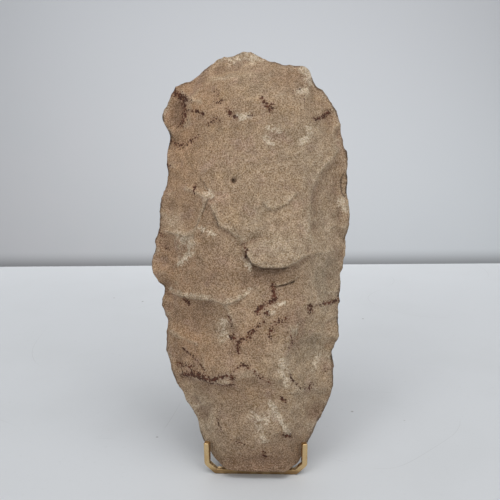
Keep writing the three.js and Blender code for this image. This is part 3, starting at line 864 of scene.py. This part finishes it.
def stone_place():
    """Where the leant stone moves to: the same as its CAD node."""
    _, _, across, up, inside, lens, shift = bare_face(1, BACK_CELLS)
    cut = AXE_LENGTH * scar_depth(back_scars(), across, up) * smooth(inside, 0, RIM_FADE)
    depth = shift + lens - cut
    back = leant(across, depth, levelled(up, depth))
    across, up = place_inside(1, curve_angle)
    shift = edge_shift(curve_angle, up)
    edge_low = leant(across, shift, levelled(up, shift)).min(0)
    back_to = stone_high.y / MM - back[:, 1].max()
    return np.array([stone_low.x / MM - edge_low[0], back_to, stone_low.z / MM - edge_low[2]])


place = stone_place()


def rounded_section():
    """Corners of the square wire's section, rounded."""
    half = WIRE / 2
    points = []
    for quarter in range(4):
        centre = math.pi / 4 + quarter * math.pi / 2
        cx = math.copysign(half - WIRE_ROUNDING, math.cos(centre))
        cy = math.copysign(half - WIRE_ROUNDING, math.sin(centre))
        for step in range(ROUNDING_STEPS + 1):
            angle = centre + (step / ROUNDING_STEPS - 0.5) * math.pi / 2
            points.append((cx + WIRE_ROUNDING * math.cos(angle), cy + WIRE_ROUNDING * math.sin(angle)))
    return points


def bent_path(points):
    """The path with each inner corner turned into a short bend, as points."""
    path = [points[0]]
    for before, corner, after in zip(points[:-2], points[1:-1], points[2:]):
        come = (corner - before).normalized()
        go = (after - corner).normalized()
        cut = BEND_RADIUS * math.tan(come.angle(go) / 2)
        start = corner - come * cut
        end = corner + go * cut
        for step in range(BEND_STEPS + 1):
            t = step / BEND_STEPS
            path.append((1 - t) ** 2 * start + 2 * t * (1 - t) * corner + t * t * end)
    path.append(points[-1])
    return path


def wire_stations(path, facing, twist):
    """At each point of the path: the point, the way along, and the two directions of the section.

    A wire with a twist turns about itself above the cut corners.
    """
    low, high = [WIRE / 2 + CORNER_RISE * share for share in PRONG_TWIST_ZONE]
    stations = []
    for index, spot in enumerate(path):
        before = path[max(0, index - 1)]
        after = path[min(len(path) - 1, index + 1)]
        along = (after - before).normalized()
        normal = Vector(facing)
        normal = (normal - along * normal.dot(along)).normalized()
        turn = Matrix.Rotation(twist * float(smooth(spot.z, low, high)), 3, along)
        stations.append((spot, along, turn @ along.cross(normal), turn @ normal))
    return stations


def wire_ring(bm, station, scale=1, shift=0):
    spot, along, across, normal = station
    corners = [spot + along * shift + across * x * scale + normal * y * scale for x, y in rounded_section()]
    return [bm.verts.new(corner * MM) for corner in corners]


def wire_object(name, points, facing, twist=0):
    """One wire of the stand: the section swept along the path into a closed tube with bevelled ends."""
    bm = bmesh.new()
    first, *middle, last = wire_stations(bent_path(points), facing, twist)
    inset = 1 - 2 * END_BEVEL / WIRE
    rings = [wire_ring(bm, first, inset), wire_ring(bm, first, 1, END_BEVEL)]
    rings += [wire_ring(bm, station) for station in middle]
    rings += [wire_ring(bm, last, 1, -END_BEVEL), wire_ring(bm, last, inset)]
    for ring, following in zip(rings[:-1], rings[1:]):
        for k in range(len(ring)):
            n = (k + 1) % len(ring)
            bm.faces.new((ring[k], ring[n], following[n], following[k]))
    bm.faces.new(list(reversed(rings[0])))
    bm.faces.new(rings[-1])
    bmesh.ops.recalc_face_normals(bm, faces=bm.faces)
    return object_of(name, bm)


def braze_blob(name, spot, size):
    bm = bmesh.new()
    bmesh.ops.create_icosphere(bm, subdivisions=3, radius=1)
    for vert in bm.verts:
        vert.co = (spot + Vector([c * s for c, s in zip(vert.co, size)])) * MM
    return object_of(name, bm)


def united(name, parts):
    """One closed mesh of all the parts."""
    first = parts[0]
    for part in parts[1:]:
        union = first.modifiers.new("union", "BOOLEAN")
        union.operation = "UNION"
        union.solver = "EXACT"
        union.object = part
    bpy.context.view_layer.update()
    mesh = bpy.data.meshes.new_from_object(first.evaluated_get(bpy.context.evaluated_depsgraph_get()))
    mesh.name = name
    for part in parts:
        bpy.data.meshes.remove(part.data)
    return linked(name, mesh)


def mirrored(half, origin):
    """The whole path of a wire from its left half, which is given from the middle of the front wire."""
    return [origin + Vector(point) for point in half + [(-x, y, z) for x, y, z in reversed(half)]]


def stand_object():
    middle = (stand_low.x + stand_high.x) / 2 / MM
    origin = Vector((middle, stand_high.y / MM - BASE_DEPTH + WIRE / 2 - REAR_OVERHANG, 0))
    level = WIRE / 2
    prong = (PRONG_SPAN - WIRE) / 2
    end = prong - CORNER_RISE
    corner = level + CORNER_RISE
    front = [(-prong, 0, PRONG_HEIGHT), (-prong, 0, corner), (-end, 0, level)]
    half_front = RUNNER_FRONT_SPACING / 2
    base = [(-half_front, 0, level), (-RUNNER_REAR_SPACING / 2, BASE_DEPTH - WIRE, level)]
    half_foot = REST_FEET[0] / 2
    foot_back = REST_FEET[1]
    top = REST_HEIGHT - WIRE / 2
    rest = [(-half_foot, foot_back, level), (-REST_SPACING / 2, REST_TOP_BACK, top)]
    rest_facing = Vector((0, top - level, foot_back - REST_TOP_BACK)).normalized()
    parts = [
        wire_object("front_wire", mirrored(front, origin), (0, 1, 0), PRONG_TWIST),
        wire_object("base_wire", mirrored(base, origin), (0, 0, 1)),
        wire_object("rest_wire", mirrored(rest, origin), rest_facing),
    ]
    for side in (-1, 1):
        joint = origin + Vector((side * half_front, BRAZE_FRONT_BACK, level))
        foot = origin + Vector((side * half_foot, foot_back, level + BRAZE_REST_RISE))
        parts.append(braze_blob("braze_front", joint, BRAZE_FRONT))
        parts.append(braze_blob("braze_rest", foot, BRAZE_REST))
    stand = united("brass_stand", parts)
    stand.data.shade_smooth()
    stand.data.set_sharp_from_angle(angle=SHARP_ANGLE)
    weighted = stand.modifiers.new("weighted", "WEIGHTED_NORMAL")
    weighted.keep_sharp = True
    return stand


class Nodes:
    """Shorthand for building the nodes of a material or a world."""

    def __init__(self, owner, shader="Principled BSDF", coords="Object"):
        self.owner = owner
        owner.use_nodes = True
        self.tree = owner.node_tree
        self.shader = self.tree.nodes[shader]
        self.coords = self.add("TexCoord", {}).outputs[coords]

    def put(self, socket, value):
        if isinstance(value, bpy.types.NodeSocket):
            self.tree.links.new(value, socket)
        else:
            socket.default_value = value

    def add(self, kind, inputs, **settings):
        """A new node with its settings, and its inputs linked or set by name."""
        node = self.tree.nodes.new("ShaderNode" + kind)
        for name, value in settings.items():
            setattr(node, name, value)
        for name, value in inputs.items():
            self.put(node.inputs[name], value)
        return node

    def surface(self, inputs):
        """Links or sets the shader's own sockets."""
        for name, value in inputs.items():
            self.put(self.shader.inputs[name], value)
        return self.owner

    def noise(self, wave, detail=2.0, rough=0.5):
        """Noise from 0 to 1 whose features are about one wave long, in millimetres."""
        inputs = {"Vector": self.coords, "Scale": 1 / (wave * MM), "Detail": detail, "Roughness": rough}
        return self.add("TexNoise", inputs).outputs["Fac"]

    def cells(self, wave):
        return self.add("TexVoronoi", {"Vector": self.coords, "Scale": 1 / (wave * MM)}).outputs

    def math(self, operation, *values):
        node = self.add("Math", {}, operation=operation)
        for socket, value in zip(node.inputs, values):
            self.put(socket, value)
        return node.outputs[0]

    def times(self, a, b):
        return self.math("MULTIPLY", a, b)

    def ramp(self, value, low, high, to_low=0.0, to_high=1.0, kind="SMOOTHSTEP"):
        """Smooth step of a value between low and high."""
        inputs = {"Value": value, "From Min": low, "From Max": high, "To Min": to_low, "To Max": to_high}
        return self.add("MapRange", inputs, interpolation_type=kind).outputs["Result"]

    def mix(self, share, a, b, blend="MIX"):
        inputs = {"Factor": share, "A": a, "B": b}
        return self.add("Mix", inputs, data_type="RGBA", blend_type=blend).outputs["Result"]

    def split(self, tone):
        outputs = self.add("SeparateColor", {"Color": tone}).outputs
        return [outputs[name] for name in ("Red", "Green", "Blue")]

    def axes(self):
        """The outputs X, Y and Z of the coordinates."""
        return self.add("SeparateXYZ", {"Vector": self.coords}).outputs

    def attribute(self, name):
        outputs = self.add("Attribute", {}, attribute_name=name).outputs
        return [*self.split(outputs["Color"]), outputs["Alpha"]]

    def bump(self, height, distance, strength, onto=None):
        inputs = {"Height": height, "Distance": distance * MM, "Strength": strength}
        if onto is not None:
            inputs["Normal"] = onto
        return self.add("Bump", inputs).outputs["Normal"]


def colour(red, green, blue):
    """A screen colour from 0 to 255, as the shader wants it."""
    def linear(value):
        value /= 255
        return value / 12.92 if value <= 0.04045 else ((value + 0.055) / 1.055) ** 2.4
    return (linear(red), linear(green), linear(blue), 1)


# Colours
STONE_BROWN = colour(167, 141, 115)
STONE_WARM = colour(171, 138, 108)
STONE_GREY = colour(158, 142, 120)
STONE_DARK = colour(134, 107, 86)
STONE_PALE = colour(187, 168, 144)
STONE_PINK = colour(166, 138, 120)
STONE_OCHRE = colour(171, 143, 108)
GRAIN_DARK = (0.61, 0.55, 0.44, 1)
GRAIN_LIGHT = (1.39, 1.45, 1.56, 1)
STAIN_RED = colour(98, 50, 36)
STAIN_DARK = colour(62, 34, 26)
CRACK_AND_SHADOW_DARK = colour(48, 30, 20)
MARK_PALE = colour(208, 191, 168)
BRASS = colour(217, 187, 139)
BRASS_DULL = colour(196, 160, 110)
BRASS_LOW_SHADE = colour(124, 90, 56)
TABLE_WHITE = colour(215, 218, 222)
TABLE_WORN = colour(207, 210, 213)
TABLE_SPECK = colour(120, 118, 116)
WALL_GREY = colour(212, 212, 215)
WALL_LIT_SIDE = colour(229, 233, 237)
WALL_FOOT_SHADOW = colour(120, 120, 122)
WALL_TOP_SHADE = colour(187, 189, 193)

# Lengths of the patches and grains of the materials, in millimetres
STONE_BROAD = 15
STONE_PATCH = 9
STONE_MOTTLE = 3.6
STONE_BREAKUP = 1.7
STONE_GRAIN = 0.56
STONE_GRIT = 0.33
SPECK_SPACING = 2.7
DOT_SPACING = 1
BRASS_CLOUD = 5
BRASS_STREAK = 0.9
LOW_SHADE_TOP = 4
TABLE_BROAD = 60
TABLE_FINE = 2.2
TABLE_SPECK_SPACING = 26
WALL_BROAD = 90
SCRATCH_WAVE = 90


def stone_tones(n, broad, mottle):
    """The broad colours of the stone."""
    warm, grey, dark, pale = n.attribute("tint")
    tone = n.mix(n.times(warm, n.ramp(broad, 0.2, 0.7, 0.65)), STONE_BROWN, STONE_WARM)
    tone = n.mix(n.times(grey, n.ramp(broad, 0.8, 0.3, 0.65)), tone, STONE_GREY)
    patch = n.noise(STONE_PATCH, 2, 0.65)
    tone = n.mix(n.ramp(patch, 0.52, 0.7, 0.0, 0.55), tone, STONE_PINK)
    tone = n.mix(n.ramp(patch, 0.46, 0.3, 0.0, 0.3), tone, STONE_OCHRE)
    # Darker patches, partly painted shade
    tone = n.mix(n.times(dark, 0.85), tone, STONE_DARK)
    return n.mix(n.times(pale, n.ramp(mottle, 0.3, 0.7, 0.4)), tone, STONE_PALE)


def stone_grain(n, tone, broad, mottle, grain, grit):
    """Darker and lighter grains, and small dark specks, over the broad colours."""
    tone = n.mix(1.0, tone, n.mix(n.ramp(grain, 0.32, 0.68), GRAIN_DARK, GRAIN_LIGHT), "MULTIPLY")
    light = n.times(n.ramp(grit, 0.3, 0.7, 0.8, 1.2), n.ramp(mottle, 0.3, 0.7, 0.86, 1.14))
    light = n.times(light, n.ramp(broad, 0.3, 0.7, 0.93, 1.07))
    tone = n.mix(1.0, tone, light, "MULTIPLY")
    tone = n.mix(n.ramp(grain, 0.52, 0.72, 0.0, 0.35), tone, STONE_PALE)
    specks = n.ramp(n.cells(SPECK_SPACING)["Distance"], 0.17, 0.09, 0.0, 0.55)
    return n.mix(n.times(specks, n.ramp(mottle, 0.45, 0.6)), tone, STAIN_DARK)


def stone_stains(n, tone, stain, breakup):
    """Dark red stains: dots of uneven size that run together where the stain is strong."""
    dots = n.cells(DOT_SPACING)
    reach = n.math("MULTIPLY_ADD", stain, 0.85, -0.17)
    reach = n.math("MULTIPLY_ADD", n.split(dots["Color"])[0], 0.4, reach)
    reach = n.math("ADD", reach, n.math("MULTIPLY_ADD", breakup, 0.8, -0.46))
    covered = n.ramp(n.math("SUBTRACT", reach, dots["Distance"]), -0.03, 0.07)
    covered = n.times(covered, n.ramp(stain, 0.02, 0.2))
    tone = n.mix(n.ramp(stain, 0.0, 1.0, 0.0, 0.32), tone, STAIN_RED)
    dot_tone = n.mix(n.ramp(breakup, 0.33, 0.6), STAIN_RED, STAIN_DARK)
    return n.mix(n.times(covered, 0.9), tone, dot_tone)


def stone_material():
    n = Nodes(bpy.data.materials.new("flaked_stone"))
    stain, crack_and_shade, fleck, relief_light_shade = n.attribute("marks")
    broad = n.noise(STONE_BROAD, 3)
    mottle = n.noise(STONE_MOTTLE, 3, 0.6)
    breakup = n.noise(STONE_BREAKUP, 2, 0.7)
    grain = n.noise(STONE_GRAIN, 2, 0.6)
    grit = n.noise(STONE_GRIT, 1)
    tone = stone_tones(n, broad, mottle)
    flecks = n.ramp(n.math("MULTIPLY_ADD", fleck, 0.36, breakup), 0.52, 0.74, 0.0, 0.85)
    tone = n.mix(n.times(flecks, n.ramp(fleck, 0.0, 0.3)), tone, MARK_PALE)
    # Painted highlight on the ridges and painted shade in the hollows of the relief
    tone = n.mix(n.ramp(relief_light_shade, 0.56, 0.85, 0.0, 0.5), tone, STONE_PALE)
    tone = n.mix(n.ramp(relief_light_shade, 0.44, 0.1, 0.0, 0.6), tone, STONE_DARK)
    tone = stone_grain(n, tone, broad, mottle, grain, grit)
    tone = stone_stains(n, tone, stain, breakup)
    # Dark lines: cracks, painted shadow lines and the painted shade along the edge
    dark_lines = n.times(n.ramp(crack_and_shade, 0.15, 0.8), n.ramp(breakup, 0.3, 0.6, 0.35, 0.95))
    bumps = n.bump(grit, 0.2, 0.8, n.bump(grain, 0.4, 1.0, n.bump(mottle, 0.8, 0.6)))
    return n.surface({
        "Base Color": n.mix(dark_lines, tone, CRACK_AND_SHADOW_DARK),
        "Roughness": n.ramp(mottle, 0.2, 0.8, 0.82, 0.95),
        "Specular IOR Level": 0.25,
        "Normal": bumps,
    })


def brass_material():
    n = Nodes(bpy.data.materials.new("polished_brass"))
    cloud = n.noise(BRASS_CLOUD, 3)
    # Darker and rougher low down on the wires: painted shade and painted reflection of the shadowed table and
    # stone
    low = n.ramp(n.axes()["Z"], LOW_SHADE_TOP * MM, WIRE * MM / 2)
    low_shade = n.times(low, n.ramp(cloud, 0.25, 0.6, 0.25, 0.7))
    tone = n.mix(n.ramp(cloud, 0.45, 0.75, 0.0, 0.6), BRASS, BRASS_DULL)
    return n.surface({
        "Base Color": n.mix(low_shade, tone, BRASS_LOW_SHADE),
        "Metallic": 1.0,
        "Roughness": n.math("MULTIPLY_ADD", low_shade, 0.16, n.ramp(cloud, 0.3, 0.75, 0.2, 0.34)),
        "Normal": n.bump(n.noise(BRASS_STREAK), 0.03, 0.5),
    })


def table_material():
    n = Nodes(bpy.data.materials.new("pale_table"))
    broad = n.noise(TABLE_BROAD, 3)
    tone = n.mix(n.ramp(broad, 0.4, 0.75, 0.0, 0.35), TABLE_WHITE, TABLE_WORN)
    tone = n.mix(n.ramp(n.noise(TABLE_FINE), 0.6, 0.8, 0.0, 0.5), tone, TABLE_WORN)
    specks = n.ramp(n.cells(TABLE_SPECK_SPACING)["Distance"], 0.04, 0.02, 0.0, 0.6)
    tone = n.mix(specks, tone, TABLE_SPECK)
    scratches = n.math("ABSOLUTE", n.math("SUBTRACT", n.noise(SCRATCH_WAVE, 0, 0.3), 0.5))
    scratches = n.times(n.ramp(scratches, 0.0014, 0.0004), n.ramp(broad, 0.5, 0.62, 0.0, 0.15))
    tone = n.mix(scratches, tone, TABLE_SPECK)
    return n.surface({"Base Color": tone, "Roughness": 0.5, "Specular IOR Level": 0.2})


def wall_material():
    n = Nodes(bpy.data.materials.new("pale_wall"))
    side = WALL_HIGH * MM / 2
    tone = n.mix(n.ramp(n.noise(WALL_BROAD), 0.3, 0.7, 0.0, 0.4), WALL_GREY, TABLE_WORN)
    spot = n.axes()
    # Painted light on the wall: lighter to the right, painted shade towards the top, and a painted shadow
    # along its foot above the table's edge
    tone = n.mix(n.ramp(spot["X"], -side, side), tone, WALL_LIT_SIDE)
    tone = n.mix(n.ramp(spot["Z"], WALL_TOP_SHADE_ZONE[0] * MM, WALL_TOP_SHADE_ZONE[1] * MM), tone, WALL_TOP_SHADE)
    level = n.math("MULTIPLY_ADD", spot["X"], -WALL_TILT, spot["Z"])
    foot = n.ramp(level, WALL_SHADE[1] * MM, WALL_SHADE[0] * MM, 0.0, 0.8)
    return n.surface({"Base Color": n.mix(foot, tone, WALL_FOOT_SHADOW), "Roughness": 0.8})


def slab(name, low, high, material, skew=0):
    bm = bmesh.new()
    bmesh.ops.create_cube(bm, size=1)
    for vert in bm.verts:
        vert.co = Vector([(lo + (c + 0.5) * (hi - lo)) * MM for c, lo, hi in zip(vert.co, low, high)])
        vert.co.y += skew * vert.co.x
    obj = object_of(name, bm)
    obj.data.materials.append(material)


def area_light(name, at, target, size, power, tone):
    light = bpy.data.lights.new(name, "AREA")
    light.shape = "RECTANGLE"
    light.size, light.size_y = [side * MM for side in size]
    light.energy = power
    light.color = tone
    lamp = linked(name, light)
    lamp.location = Vector(at) * MM
    lamp.rotation_euler = (Vector(target) - Vector(at)).to_track_quat("-Z", "Y").to_euler()


def studio_sky():
    n = Nodes(bpy.data.worlds.new("studio"), "Background", "Generated")
    glow = n.ramp(n.axes()["Z"], *SKY_RISE, *SKY_GLOW, "LINEAR")
    bpy.context.scene.world = n.surface({"Color": SKY_BLUE, "Strength": glow})


def camera_object():
    data = bpy.data.cameras.new("camera")
    data.lens = LENS
    data.sensor_width = SENSOR
    data.clip_start = 0.01
    camera = linked("camera", data)
    camera.matrix_world = Matrix.Translation(Vector(CAMERA_AT) * MM) @ CAMERA_TURN.to_4x4()
    bpy.context.scene.camera = camera


camera_object()

stone = stone_object()
stone.data.materials.append(stone_material())
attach(stone, "root")
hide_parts("hand_axe")

stand = stand_object()
stand.data.materials.append(brass_material())
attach(stand, "root")
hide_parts("display_stand")

table_low = (-TABLE_HALF, -TABLE_HALF, -TABLE_THICK)
slab("table", table_low, (TABLE_HALF, TABLE_BACK, 0), table_material(), TABLE_SKEW)
wall_top = (WALL_HIGH, WALL_AT + TABLE_THICK, WALL_HIGH)
slab("wall", (-WALL_HIGH, WALL_AT, WALL_LOW), wall_top, wall_material())

studio_sky()
for lamp in LAMPS:
    area_light(*lamp)
bpy.context.scene.view_settings.view_transform = "Standard"
